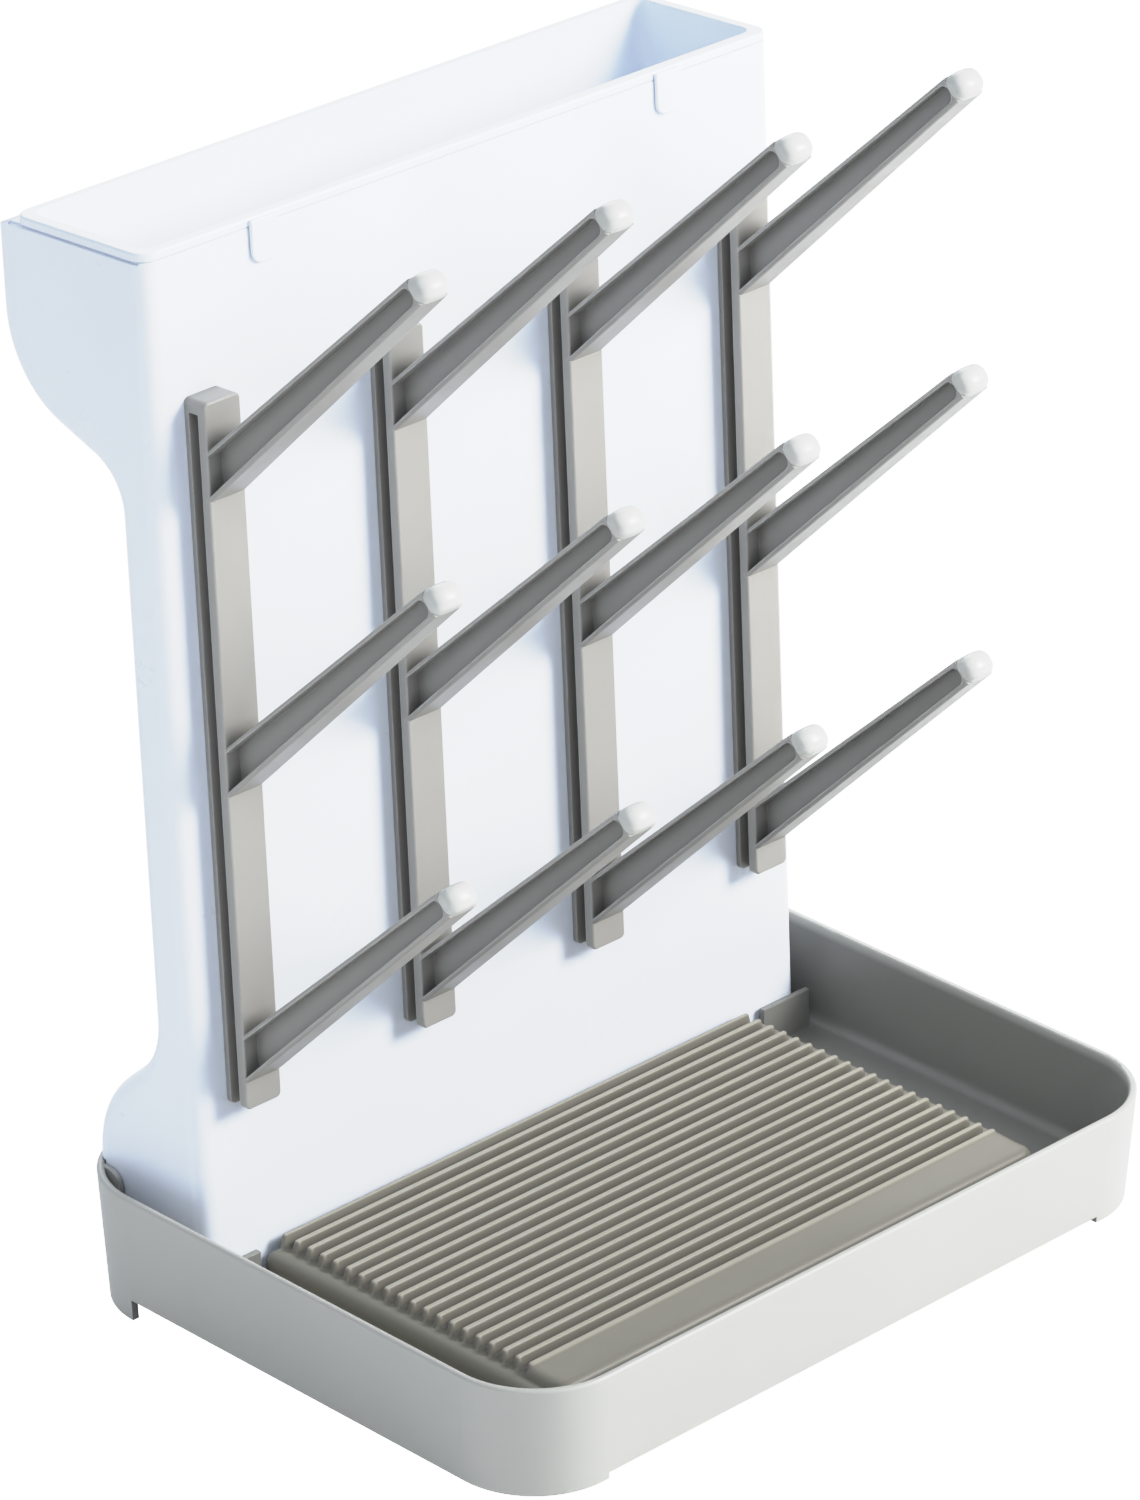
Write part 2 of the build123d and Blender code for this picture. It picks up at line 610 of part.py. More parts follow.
def all_parts():
    parts = {
        "tray": make_tray(),
        "drip_plate": make_drip_plate(),
        "tower_shell": make_tower(),
        "bin_liner": make_liner(),
    }
    for number, place in enumerate(pad_places(), start=1):
        parts[f"foot_pad_{number}"] = make_foot_pad(place)
    for rail_index in range(RAIL_COUNT):
        parts[f"rail_{rail_index + 1}"] = make_rail(rail_index)
        for peg_index in range(PEG_COUNT):
            name = f"tip_cap_{rail_index + 1}_{peg_index + 1}"
            parts[name] = make_tip_cap(rail_index, peg_index)
    return parts


def middle_y(shapes):
    """Y of the middle of the whole rack's footprint."""
    boxes = [shape.bounding_box() for shape in shapes]
    return (min(box.min.Y for box in boxes) + max(box.max.Y for box in boxes)) / 2


os.makedirs("parts", exist_ok=True)
rack = all_parts()
move = Pos(0, -middle_y(rack.values()), 0)
for name, shape in rack.items():
    export_step(move * shape, f"parts/{name}.step")
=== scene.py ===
import math

import bmesh
import bpy
from mathutils import Euler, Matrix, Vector


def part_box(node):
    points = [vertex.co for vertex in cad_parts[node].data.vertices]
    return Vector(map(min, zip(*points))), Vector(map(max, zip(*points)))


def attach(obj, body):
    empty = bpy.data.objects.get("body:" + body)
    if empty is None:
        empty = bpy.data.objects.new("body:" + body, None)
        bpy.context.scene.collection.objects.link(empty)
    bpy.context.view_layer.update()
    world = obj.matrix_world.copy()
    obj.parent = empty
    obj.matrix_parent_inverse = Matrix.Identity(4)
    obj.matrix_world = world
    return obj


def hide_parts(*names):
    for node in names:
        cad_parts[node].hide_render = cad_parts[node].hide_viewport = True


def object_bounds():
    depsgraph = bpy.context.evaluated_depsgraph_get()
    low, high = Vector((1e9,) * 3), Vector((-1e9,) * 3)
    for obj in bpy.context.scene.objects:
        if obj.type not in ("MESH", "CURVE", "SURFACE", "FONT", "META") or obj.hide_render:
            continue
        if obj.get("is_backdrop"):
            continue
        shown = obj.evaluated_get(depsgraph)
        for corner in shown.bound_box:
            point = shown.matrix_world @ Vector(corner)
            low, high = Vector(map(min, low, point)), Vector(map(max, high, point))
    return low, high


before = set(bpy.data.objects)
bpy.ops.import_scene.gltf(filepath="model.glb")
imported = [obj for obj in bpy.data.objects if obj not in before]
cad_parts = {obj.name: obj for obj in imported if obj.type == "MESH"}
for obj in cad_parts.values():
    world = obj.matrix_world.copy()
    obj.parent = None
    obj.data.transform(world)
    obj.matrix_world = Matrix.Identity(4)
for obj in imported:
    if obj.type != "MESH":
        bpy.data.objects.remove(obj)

# Bottle drying rack, in metres, in the frame of the CAD model: X along the rack, -Y front, +Z up.

cad_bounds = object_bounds()

MM = 0.001

# ---- camera ----
CAMERA_AZIMUTH = -44.803        # degrees
CAMERA_ELEVATION = 26.280
CAMERA_ROLL = 0.108
CAMERA_PLACE = (-1.5935, -1.5944, 1.2969)
LENS = 240.27
SENSOR_WIDTH = 36.0
CLIP_END = 100.0

# ---- light ----
WORLD_COLOUR = (0.87, 0.94, 1.05, 1.0)
WORLD_STRENGTH = 0.60
KEY_PLACE = (1.15, -1.55, 1.35)
KEY_SIZE = (0.9, 0.9)
KEY_POWER = 62.0
FILL_PLACE = (-1.4, -0.8, 1.9)
FILL_SIZE = (1.6, 1.6)
FILL_POWER = 9.0
FILL_COLOUR = (0.84, 0.92, 1.0)
BACK_PLACE = (1.1, 1.7, 1.9)
BACK_SIZE = (1.4, 1.4)
BACK_POWER = 24.0
LIGHT_TARGET = (0.0, 0.0, 0.16)
FLOOR_SIZE = 60.0
FLOOR_ALBEDO = 0.90
FLOOR_GLOW = 0.85               # how much of the floor's look is its own even white
WHITE_GLOW = 3.0                # radiance of that white, past the top of the highlight curve
FLOOR_ROUGHNESS = 0.9
FLOOR_PATCHES = 3.0             # noise scale of the floor's faint mottling
FLOOR_TONE_STEP = 0.01          # and how much paler its pale patches are

# ---- colour view: scene brightness to screen brightness, with a soft shoulder ----
HIGHLIGHT_CURVE = (
    (0.5, 0.51),
    (0.7, 0.725),
    (0.85, 0.81),
    (1.05, 0.857),
    (1.4, 0.902),
    (1.7, 0.94),
    (2.5, 1.0),
)
CURVE_END = (4.0, 1.0)
MASTER_CURVE = 3                # the curve mapping's last curve works on all three channels

# ---- moulded plastic ----
PLASTIC_IOR = 1.49
EDGE_ROUND = 0.0007             # radius that softens the moulded edges
EDGE_COSINE = (0.88, 0.995)     # between the rounded and the true normal: on an edge, and off it
HOLLOW_OPENNESS = (0.25, 0.85)  # how open a deep hollow is, and a free surface
BODY_TONES = (0.97, 1.02)       # darkest and palest patch of the mottled colour
FAINTEST_EDGE_HIGHLIGHT = 0.35               # share of the painted edge highlight where it is faintest
ROUGHNESS_STEP = 0.05           # smudges move the roughness by this much either way
BODY_PATCHES = 11.0             # noise scales, in patches to the metre
EDGE_PATCHES = 120.0
SMUDGE_PATCHES = 38.0
SWELL_PATCHES = 60.0
GRAIN_PATCHES = 2600.0
SWELL_DEPTH = 0.00006
SWELL_STRENGTH = 0.3
GRAIN_DEPTH = 0.00002
GRAIN_STRENGTH = 0.25

# ---- places where painted shade and painted highlight change the plastic's tone ----
RIM_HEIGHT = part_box("tray")[1][2]
RIM_BAND = (0.004, 0.0015)      # the painted shade inside the tray fades out between these depths under the rim
FACING_OUT = (0.01, 0.05)       # how far out a face's plane lies: up to this inside, past this outside
CREST_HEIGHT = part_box("drip_plate")[1][2]
CREST_HIGHLIGHT_DEPTH = 0.0006             # depth under the crests' tops that gets a painted highlight

# ---- which material each kind of CAD node is made of ----
MATERIAL_OF = {
    "tray": "tray",
    "drip_plate": "plate",
    "tower_shell": "tower",
    "bin_liner": "tower",
    "rail": "rail",
    "tip_cap": "cap",
    "foot_pad": "pad",
}

# ---- pegs and caps ----
PEG_RISE = 44.3                 # degrees that the pegs rise towards the front
CAP_RINGS = 14
CAP_SEGMENTS = 40
CAP_LIP = ((-0.6, 0.93), (-0.55, 1.0), (-0.3, 1.04), (0.1, 1.05), (0.5, 1.035), (0.9, 1.01))
CAP_BASE_POWER = 3.4            # superellipse powers: boxy at the peg, round at the tip
CAP_TIP_POWER = 2.2
CAP_DOME_POWER = 2.5
CAP_TIP_STEP = 0.35             # of a ring's step, from the last ring to the tip
CAP_SHARP_ANGLE = 60.0          # degrees past which an edge stays sharp

# ---- drip plate, millimetres, measured from its front edge and down from its crests ----
PLATE_CORNER = 10.0
PLATE_REAR_CORNER = 3.0
PLATE_WALL = 2.0
PLATE_ROOF = 6.3                # underside of the deck
PLATE_FOOT = 17.7
PLATE_BACK_FOOT = 10.2          # where the back edge rests on the partition
PLATE_LAND = 3.0
DECK_DROP = 4.3
DECK_EDGE = 4.5
MARGIN_EDGE = 3.3
MARGIN_HALF = 113.2
MARGIN_CORNER = 8.0
MARGIN_ROUND = 4.0
MARGIN_HEIGHT = 0.88            # of a rib's height
MARGIN_DISH = 0.10
RIB_COUNT = 20
RIB_PITCH = 6.16
RIB_HALF = 112.3
RIB_FIRST = 18.0
RIB_FOOT = 2.0                  # half width at the deck
RIB_CREST = 0.75                # half width of the flattest part of the crest
EDGE_STEPS = 9
FINE_STEP = 0.55
RIB_STEPS = 14
END_ZONE = 13.0                 # fine columns at the ribs' ends
MIDDLE_COLUMNS = 12
PLATE_SHARP_ANGLE = 50.0

MERGE_DISTANCE = 1e-6
MIX_COLOURS = (6, 7)            # sockets of a colour mix
MIX_RESULT = 2


# ------------------------------------------------------------------ node helpers

class Nodes:
    """A material's node tree, with short ways to add and join nodes."""

    def __init__(self, name):
        self.material = bpy.data.materials.new(name)
        self.material.use_nodes = True
        self.tree = self.material.node_tree
        self.bsdf = self.tree.nodes["Principled BSDF"]

    def add(self, kind, **values):
        """A node of this kind. A value named like an input sets it, and any other sets a property."""
        node = self.tree.nodes.new("ShaderNode" + kind)
        for name, value in values.items():
            if hasattr(node, name):
                setattr(node, name, value)
            else:
                node.inputs[name.replace("_", " ").title()].default_value = value
        return node

    def join(self, source, target):
        self.tree.links.new(source, target)

    def place(self):
        """Position in metres in the object's own frame."""
        return self.add("TexCoord").outputs["Object"]

    def noise(self, scale, detail=2.0, roughness=0.5):
        node = self.add("TexNoise", Scale=scale, Detail=detail, Roughness=roughness)
        self.join(self.place(), node.inputs["Vector"])
        return node.outputs["Fac"]

    def spread(self, value, low, high, start=0.3, end=0.7):
        """The value, read from start to end, spread from low to high."""
        node = self.add("MapRange")
        for name, number in (("From Min", start), ("From Max", end), ("To Min", low), ("To Max", high)):
            node.inputs[name].default_value = number
        self.join(value, node.inputs["Value"])
        return node.outputs["Result"]

    def mix(self, factor, first, second):
        """A colour between two colours; each is four numbers or a node's output."""
        node = self.add("Mix", data_type="RGBA")
        for index, colour in zip(MIX_COLOURS, (first, second)):
            if isinstance(colour, tuple):
                node.inputs[index].default_value = colour
            else:
                self.join(colour, node.inputs[index])
        self.join(factor, node.inputs[0])
        return node.outputs[MIX_RESULT]

    def bevel(self, radius):
        """A normal that rounds the edges by this radius."""
        node = self.add("Bevel", samples=4)
        node.inputs["Radius"].default_value = radius
        return node.outputs["Normal"]

    def edge(self, rounded):
        """1 along the edges, where the rounded normal turns away from the true one, and 0 elsewhere."""
        true = self.add("NewGeometry").outputs["Normal"]
        dot = self.add("VectorMath", operation="DOT_PRODUCT")
        self.join(rounded, dot.inputs[0])
        self.join(true, dot.inputs[1])
        return self.spread(dot.outputs["Value"], 1.0, 0.0, *EDGE_COSINE)

    def hollow(self, distance):
        """Where shade is painted: 1 deep in a hollow and 0 in the open."""
        node = self.add("AmbientOcclusion", samples=6)
        node.inputs["Distance"].default_value = distance
        return self.spread(node.outputs["AO"], 1.0, 0.0, *HOLLOW_OPENNESS)

    def inward(self):
        """Where the tray's inner shade is painted: 1 on the tray's floor and inner walls, and 0 on its
        outside and its rim.
        """
        flat = self.add("VectorMath", operation="MULTIPLY")
        self.join(self.place(), flat.inputs[0])
        flat.inputs[1].default_value = (1.0, 1.0, 0.0)
        outward = self.add("VectorMath", operation="DOT_PRODUCT")
        self.join(flat.outputs[0], outward.inputs[0])
        self.join(self.add("NewGeometry").outputs["Normal"], outward.inputs[1])
        inner = self.spread(outward.outputs["Value"], 1.0, 0.0, *FACING_OUT)
        both = self.add("Math", operation="SUBTRACT", use_clamp=True)
        self.join(inner, both.inputs[0])
        near_rim = self.above(*(RIM_HEIGHT - depth for depth in RIM_BAND))
        self.join(near_rim, both.inputs[1])
        return both.outputs[0]

    def above(self, low, high):
        """0 below one height, and 1 above the other."""
        height = self.add("SeparateXYZ")
        self.join(self.place(), height.inputs[0])
        return self.spread(height.outputs["Z"], 0.0, 1.0, low, high)


def tinted(colour, factor):
    """The colour made darker or paler, with the fourth number that a socket wants."""
    return (*(min(factor * c, 1.0) for c in colour), 1.0)


def relief(nodes, strength, depth, patches, normal):
    """A normal with a fine noise relief laid over another normal."""
    bump = nodes.add("Bump", Strength=strength, Distance=depth)
    nodes.join(nodes.noise(patches), bump.inputs["Height"])
    nodes.join(normal, bump.inputs["Normal"])
    return bump.outputs["Normal"]


def painted_edge_highlight(nodes, rounded):
    """Painted highlight along the edges: 1 where it is strongest, less on the other edges and 0 elsewhere.
    """
    highlight_share = nodes.spread(nodes.noise(EDGE_PATCHES, 4.0, 0.6), FAINTEST_EDGE_HIGHLIGHT, 1.0)
    painted_edge = nodes.add("Math", operation="MULTIPLY")
    nodes.join(nodes.edge(rounded), painted_edge.inputs[0])
    nodes.join(highlight_share, painted_edge.inputs[1])
    return painted_edge.outputs[0]


def moulded_plastic(name, colour, roughness, edge=1.12, shade=1.0, shade_reach=0.02, inside=1.0, crest=1.0):
    """Moulded plastic: faint flow mottling, a satin grain, a painted highlight on the edges and painted
    shade in hollows.

    The last values are factors on the colour: on edges (painted highlight), in hollows (painted shade),
    inside the tray (painted shade) and on the crests (painted highlight).
    """
    nodes = Nodes(name)
    bsdf = nodes.bsdf
    rounded = nodes.bevel(EDGE_ROUND)
    patches = nodes.spread(nodes.noise(BODY_PATCHES, 4.0), 0.0, 1.0)
    body = nodes.mix(patches, *(tinted(colour, tone) for tone in BODY_TONES))
    # paler edges: a painted highlight along the moulded edges, varied by noise
    body = nodes.mix(painted_edge_highlight(nodes, rounded), body, tinted(colour, edge))
    if shade < 1.0:
        # painted shade: darker colour in hollows, found by ambient occlusion
        body = nodes.mix(nodes.hollow(shade_reach), body, tinted(colour, shade))
    if crest > 1.0:
        # painted highlight: paler colour along the tops of the rib crests
        crest_highlight = nodes.above(CREST_HEIGHT - CREST_HIGHLIGHT_DEPTH, CREST_HEIGHT)
        body = nodes.mix(crest_highlight, body, tinted(colour, crest))
    if inside < 1.0:
        # painted shade: darker colour on the tray's floor and inner walls
        body = nodes.mix(nodes.inward(), body, tinted(colour, inside))
    nodes.join(body, bsdf.inputs["Base Color"])
    smudge = nodes.noise(SMUDGE_PATCHES, 5.0, 0.6)
    gloss = nodes.spread(smudge, roughness - ROUGHNESS_STEP, roughness + ROUGHNESS_STEP)
    nodes.join(gloss, bsdf.inputs["Roughness"])
    grain = relief(nodes, GRAIN_STRENGTH, GRAIN_DEPTH, GRAIN_PATCHES, rounded)
    swell = relief(nodes, SWELL_STRENGTH, SWELL_DEPTH, SWELL_PATCHES, grain)
    nodes.join(swell, bsdf.inputs["Normal"])
    bsdf.inputs["IOR"].default_value = PLASTIC_IOR
    return nodes.material


def white_plastic():
    return moulded_plastic("white_plastic", (0.83, 0.878, 0.965), 0.32, edge=1.03)


def tray_plastic():
    # inside=0.52 paints shade on the tray's floor and inner walls
    return moulded_plastic("tray_plastic", (0.445, 0.438, 0.402), 0.34, inside=0.52)


def plate_plastic():
    colour = (0.222, 0.208, 0.168)
    # the plate gets painted shade in its grooves and a painted highlight on its rib crests
    return moulded_plastic("plate_plastic", colour, 0.42, shade=0.30, shade_reach=0.005, crest=1.6)


def rail_plastic():
    colour = (0.350, 0.337, 0.310)
    # the rails get a strong painted highlight on their edges and painted shade in their grooves and recesses
    return moulded_plastic("rail_plastic", colour, 0.40, edge=2.3, shade=0.6, shade_reach=0.006)


def cap_rubber():
    colour = (0.56, 0.555, 0.515)
    # the caps get faint painted shade in their hollows
    return moulded_plastic("cap_rubber", colour, 0.30, edge=1.0, shade=0.8, shade_reach=0.004)


def pad_rubber():
    return moulded_plastic("pad_rubber", (0.30, 0.30, 0.29), 0.7)


def make_materials():
    return {
        "tower": white_plastic(),
        "tray": tray_plastic(),
        "plate": plate_plastic(),
        "rail": rail_plastic(),
        "cap": cap_rubber(),
        "pad": pad_rubber(),
    }


def dress_nodes(materials):
    """Gives every CAD node the material of its kind."""
    for name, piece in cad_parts.items():
        kind = next(kind for kind in MATERIAL_OF if name.startswith(kind))
        piece.data.materials.clear()
        piece.data.materials.append(materials[MATERIAL_OF[kind]])


# ------------------------------------------------------------------ mesh helpers

def new_piece(name, points, faces, material, sharp_angle):
    """A smooth-shaded piece from points in metres, with edges past the angle (degrees) kept sharp."""
    mesh = bpy.data.meshes.new(name)
    mesh.from_pydata(points, [], faces)
    shape = bmesh.new()
    shape.from_mesh(mesh)
    bmesh.ops.remove_doubles(shape, verts=shape.verts, dist=MERGE_DISTANCE)
    bmesh.ops.recalc_face_normals(shape, faces=shape.faces)
    shape.to_mesh(mesh)
    shape.free()
    for face in mesh.polygons:
        face.use_smooth = True
    mesh.set_sharp_from_angle(angle=math.radians(sharp_angle))
    mesh.materials.append(material)
    piece = bpy.data.objects.new(name, mesh)
    bpy.context.scene.collection.objects.link(piece)
    return piece


def ring_faces(first, second, count):
    """Quads between two closed loops of points that start at these indices."""
    return [(first + i, first + (i + 1) % count, second + (i + 1) % count, second + i) for i in range(count)]


# ------------------------------------------------------------------ tip caps

def span(node, direction):
    """Lowest and highest place of a CAD node's points along a direction."""
    places = [vertex.co.dot(direction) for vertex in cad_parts[node].data.vertices]
    return min(places), max(places)


def rounded_ring(centre, side, up, half_side, half_up, power):
    """A closed superellipse of points about a centre."""
    ring = []
    for step in range(CAP_SEGMENTS):
        turn = 2 * math.pi * step / CAP_SEGMENTS
        across = math.copysign(abs(math.cos(turn)) ** (2 / power), math.cos(turn))
        along = math.copysign(abs(math.sin(turn)) ** (2 / power), math.sin(turn))
        ring.append(centre + half_side * across * side + half_up * along * up)
    return ring


def cap_sections(length):
    """Places along a cap with the section's scale and power: a soft lip, then a dome."""
    sections = [(place * MM, scale, CAP_BASE_POWER) for place, scale in CAP_LIP]
    start, lip_scale, _ = sections[-1]
    for step in range(1, CAP_RINGS + 1):
        part = math.sin(math.pi / 2 * step / (CAP_RINGS + CAP_TIP_STEP))
        scale = lip_scale * (1 - part ** CAP_DOME_POWER) ** (1 / CAP_DOME_POWER)
        power = CAP_BASE_POWER + (CAP_TIP_POWER - CAP_BASE_POWER) * part
        sections.append((start + (length - start) * part, scale, power))
    return sections


def make_cap(node, material):
    """A soft domed cap with a lip round the peg's tip, in the place of its CAD node."""
    rise = math.radians(PEG_RISE)
    axis = Vector((0, -math.cos(rise), math.sin(rise)))
    up = Vector((0, math.sin(rise), math.cos(rise)))
    side = Vector((1, 0, 0))
    base, tip = span(node, axis)
    side_low, side_high = span(node, side)
    up_low, up_high = span(node, up)
    origin = base * axis + (side_low + side_high) / 2 * side + (up_low + up_high) / 2 * up
    half_side = (side_high - side_low) / 2
    half_up = (up_high - up_low) / 2
    points = []
    sections = cap_sections(tip - base)
    for place, scale, power in sections:
        points += rounded_ring(origin + place * axis, side, up, scale * half_side, scale * half_up, power)
    faces = [tuple(range(CAP_SEGMENTS))]
    for index in range(len(sections) - 1):
        faces += ring_faces(index * CAP_SEGMENTS, (index + 1) * CAP_SEGMENTS, CAP_SEGMENTS)
    faces.append(tuple(range(len(points) - CAP_SEGMENTS, len(points))))
    piece = new_piece("soft_" + node, points, faces, material, CAP_SHARP_ANGLE)
    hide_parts(node)
    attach(piece, "rail_" + node.split("_")[2])


# ------------------------------------------------------------------ drip plate

def quarter(part):
    """Height of a quarter round, from 0 at its edge to 1 at its top."""
    inward = min(max(part, 0.0), 1.0)
    return math.sqrt(1.0 - (1.0 - inward) ** 2)


def smooth(part):
    """An even S curve from 0 to 1."""
    inward = min(max(part, 0.0), 1.0)
    return inward * inward * (3.0 - 2.0 * inward)


def corner_distance(end_gap, edge_gap, radius):
    """Distance in from a rounded corner, given the gaps to its two straight sides."""
    if end_gap < radius and edge_gap < radius:
        return radius - math.hypot(radius - end_gap, radius - edge_gap)
    return min(end_gap, edge_gap)


def rib_rise(x, v):
    """Height of the nearest rib, 0 to 1: a rounded crest that runs on round the rib's ends."""
    row = min(max(round((v - RIB_FIRST) / RIB_PITCH), 0), RIB_COUNT - 1)
    past_end = max(abs(x) - (RIB_HALF - RIB_FOOT), 0.0)
    reach = math.hypot(past_end, v - RIB_FIRST - row * RIB_PITCH)
    return 1.0 - smooth((reach - RIB_CREST) / (RIB_FOOT - RIB_CREST))


def margin_rise(x, v):
    """Height of the smooth margin ahead of the ribs, slightly dished, 0 to 1."""
    if v > RIB_FIRST:
        return 0.0
    end = corner_distance(MARGIN_HALF - abs(x), v + MARGIN_ROUND, MARGIN_CORNER)
    dish = MARGIN_DISH * math.sin(math.pi * min(v / RIB_FIRST, 1.0))
    return (MARGIN_HEIGHT - dish) * quarter(end / MARGIN_ROUND)


def row_half(v, half, depth):
    """Half of the plate's width in the row at v, less in its rounded corners."""
    for gap, radius in ((v, PLATE_CORNER), (depth - v, PLATE_REAR_CORNER)):
        if gap < radius:
            return half - radius + math.sqrt(max(radius ** 2 - (radius - gap) ** 2, 0.0))
    return half


def plate_drop(x, v, half, depth):
    """How far the plate's top lies below the crests."""
    rise = max(rib_rise(x, v), margin_rise(x, v))
    end_gap = half - abs(x)
    front = corner_distance(end_gap, v, PLATE_CORNER)
    back = corner_distance(end_gap, depth - v, PLATE_REAR_CORNER)
    edge = DECK_EDGE + (MARGIN_EDGE - DECK_EDGE) * rise
    return DECK_DROP * (1.0 - rise) + edge * (1.0 - quarter(min(front, back) / edge))


def fine_steps(length):
    """Distances from an edge: very fine on its round, then even steps."""
    steps = [DECK_EDGE * (step / EDGE_STEPS) ** 2 for step in range(EDGE_STEPS)]
    even = round((length - DECK_EDGE) / FINE_STEP)
    return steps + [DECK_EDGE + (length - DECK_EDGE) * step / even for step in range(even + 1)]


def row_places(depth):
    """Rows from front to back, with the same places on every rib."""
    start = RIB_FIRST - RIB_PITCH / 2
    ribs = [start + RIB_PITCH * step / RIB_STEPS for step in range(RIB_COUNT * RIB_STEPS)]
    back = [depth - DECK_EDGE * (step / EDGE_STEPS) ** 2 for step in range(EDGE_STEPS, -1, -1)]
    return fine_steps(start)[:-1] + [place for place in ribs if place < back[0] - FINE_STEP / 2] + back


def column_places(half_width):
    """Columns from left to right, fine at both ends."""
    ends = fine_steps(END_ZONE)
    inner = half_width - END_ZONE
    middle = [inner * (2 * step / MIDDLE_COLUMNS - 1) for step in range(1, MIDDLE_COLUMNS)]
    left = [-half_width + place for place in ends]
    return left + middle + [-place for place in reversed(left)]


def top_points(rows, half, depth):
    """The plate's top, row by row."""
    points = []
    for v in rows:
        columns = column_places(row_half(v, half, depth))
        points += [(x, v, -plate_drop(x, v, half, depth)) for x in columns]
    return points


def top_faces(row_count, width):
    """Quads between the points of a grid."""
    faces = []
    for row in range(row_count - 1):
        for column in range(width - 1):
            first = row * width + column
            faces.append((first, first + 1, first + 1 + width, first + width))
    return faces


def grid_border(row_count, width):
    """The grid's outer points, once round."""
    last = (row_count - 1) * width
    border = list(range(width)) + [row * width + width - 1 for row in range(1, row_count)]
    border += [last + column for column in range(width - 2, -1, -1)]
    return border + [row * width for row in range(row_count - 2, 0, -1)]


def lower_loop(top, half, depth, inset, at_foot):
    """The border's points drawn in by an inset and brought down to the wall's foot or up to the roof."""
    loop = []
    for x, v, _ in top:
        foot = PLATE_BACK_FOOT if v > depth - PLATE_LAND else PLATE_FOOT
        z = -foot if at_foot else -PLATE_ROOF
        loop.append((x * (1 - inset / half), v + inset * (1 - 2 * v / depth), z))
    return loop


def make_plate(material):
    """The ribbed drip plate: a height field on its outline, with side walls and a hollow underside."""
    low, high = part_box("drip_plate")
    half = (high[0] - low[0]) / 2 / MM
    depth = (high[1] - low[1]) / MM
    rows = row_places(depth)
    width = len(column_places(half))
    points = top_points(rows, half, depth)
    faces = top_faces(len(rows), width)
    border = grid_border(len(rows), width)
    top = [points[index] for index in border]
    loops = [border]
    for inset, at_foot in ((0.0, True), (PLATE_WALL, True), (PLATE_WALL, False)):
        start = len(points)
        points += lower_loop(top, half, depth, inset, at_foot)
        loops.append(list(range(start, start + len(border))))
    for upper, lower in zip(loops, loops[1:]):
        for index in range(len(border)):
            after = (index + 1) % len(border)
            faces.append((upper[index], upper[after], lower[after], lower[index]))
    faces.append(tuple(loops[-1]))
    middle_x = (low[0] + high[0]) / 2
    places = [(middle_x + x * MM, low[1] + v * MM, high[2] + z * MM) for x, v, z in points]
    piece = new_piece("ribbed_plate", places, faces, material, PLATE_SHARP_ANGLE)
    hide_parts("drip_plate")
    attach(piece, "plate")


# ------------------------------------------------------------------ stage

def area_light(name, place, size, power, colour=(1.0, 1.0, 1.0)):
    """A soft rectangular light that looks at the object."""
    data = bpy.data.lights.new(name, "AREA")
    data.shape = "RECTANGLE"
    data.size, data.size_y = size
    data.energy = power
    data.color = colour
    light = bpy.data.objects.new(name, data)
    light.location = place
    aim = Vector(LIGHT_TARGET) - Vector(place)
    light.rotation_euler = aim.to_track_quat("-Z", "Y").to_euler()
    bpy.context.scene.collection.objects.link(light)


def floor_paint():
    """Matt pale paint that looks evenly white to the camera."""
    nodes = Nodes("floor")
    shade = nodes.spread(nodes.noise(FLOOR_PATCHES), 0.0, 1.0)
    tones = (FLOOR_ALBEDO, FLOOR_ALBEDO + FLOOR_TONE_STEP)
    colour = nodes.mix(shade, *((tone, tone, tone, 1.0) for tone in tones))
    nodes.join(colour, nodes.bsdf.inputs["Base Color"])
    nodes.bsdf.inputs["Roughness"].default_value = FLOOR_ROUGHNESS
    glow = nodes.add("Emission", Strength=WHITE_GLOW)
    seen = nodes.add("Math", operation="MULTIPLY")
    nodes.join(nodes.add("LightPath").outputs["Is Camera Ray"], seen.inputs[0])
    seen.inputs[1].default_value = FLOOR_GLOW
    blend = nodes.add("MixShader")
    nodes.join(seen.outputs[0], blend.inputs[0])
    nodes.join(nodes.bsdf.outputs[0], blend.inputs[1])
    nodes.join(glow.outputs[0], blend.inputs[2])
    nodes.join(blend.outputs[0], nodes.tree.nodes["Material Output"].inputs["Surface"])
    return nodes.material


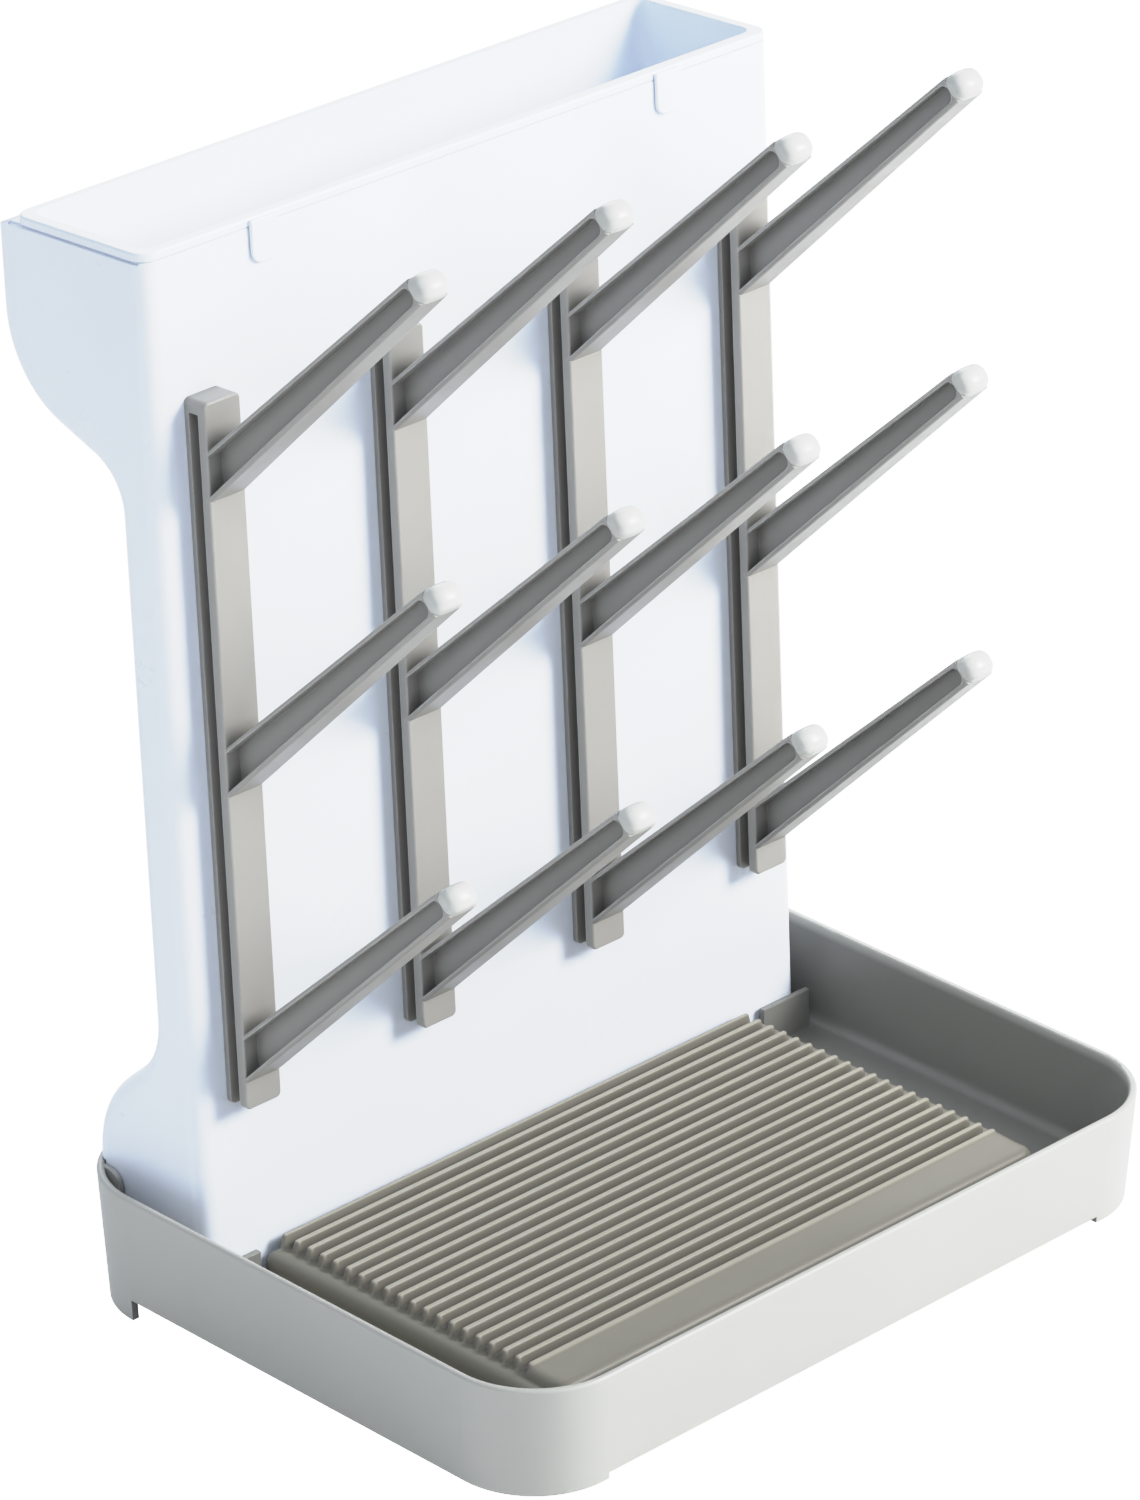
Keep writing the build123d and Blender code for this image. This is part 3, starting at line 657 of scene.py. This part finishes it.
def make_floor():
    """A pale floor that bounces light onto the object."""
    half = FLOOR_SIZE / 2
    mesh = bpy.data.meshes.new("floor")
    corners = [(-half, -half, 0), (half, -half, 0), (half, half, 0), (-half, half, 0)]
    mesh.from_pydata(corners, [], [(0, 1, 2, 3)])
    mesh.materials.append(floor_paint())
    floor = bpy.data.objects.new("floor", mesh)
    bpy.context.scene.collection.objects.link(floor)
    floor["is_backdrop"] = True


def make_world():
    """An even, slightly cool studio."""
    world = bpy.data.worlds.new("studio")
    world.use_nodes = True
    background = world.node_tree.nodes["Background"]
    background.inputs["Color"].default_value = WORLD_COLOUR
    background.inputs["Strength"].default_value = WORLD_STRENGTH
    bpy.context.scene.world = world


def make_lights():
    """A key light at the front right, a weak cool fill at the left and a back light."""
    area_light("key", KEY_PLACE, KEY_SIZE, KEY_POWER)
    area_light("fill", FILL_PLACE, FILL_SIZE, FILL_POWER, FILL_COLOUR)
    area_light("back", BACK_PLACE, BACK_SIZE, BACK_POWER)


def make_camera():
    """A long lens that looks at the rack from the front left and above."""
    data = bpy.data.cameras.new("camera")
    data.sensor_fit = "HORIZONTAL"
    data.sensor_width = SENSOR_WIDTH
    data.lens = LENS
    data.clip_end = CLIP_END
    camera = bpy.data.objects.new("camera", data)
    camera.location = CAMERA_PLACE
    azimuth = math.radians(CAMERA_AZIMUTH)
    elevation = math.radians(CAMERA_ELEVATION)
    turn = Euler((math.pi / 2 - elevation, 0.0, azimuth), "XYZ").to_matrix()
    roll = Euler((0.0, 0.0, math.radians(CAMERA_ROLL)), "XYZ").to_matrix()
    camera.rotation_euler = (turn @ roll).to_euler()
    bpy.context.scene.collection.objects.link(camera)
    bpy.context.scene.camera = camera


def set_colour_view():
    """Plain sRGB with a soft shoulder, so that the white plastic keeps its shape in bright light."""
    view = bpy.context.scene.view_settings
    view.view_transform = "Standard"
    view.use_curve_mapping = True
    mapping = view.curve_mapping
    mapping.clip_max_x, mapping.clip_max_y = CURVE_END
    curve = mapping.curves[MASTER_CURVE]
    curve.points[1].location = HIGHLIGHT_CURVE[-1]
    for place in HIGHLIGHT_CURVE[:-1]:
        curve.points.new(*place)
    for point in curve.points:
        point.handle_type = "AUTO_CLAMPED"
    mapping.update()


# ------------------------------------------------------------------ the scene

materials = make_materials()
dress_nodes(materials)
make_plate(materials["plate"])
for node in list(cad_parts):
    if node.startswith("tip_cap"):
        make_cap(node, materials["cap"])
set_colour_view()
make_floor()
make_world()
make_lights()
make_camera()

boxes = {"cad": cad_bounds, "visual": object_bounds()}
boxes = {name: [[float(v) for v in corner] for corner in box] for name, box in boxes.items()}
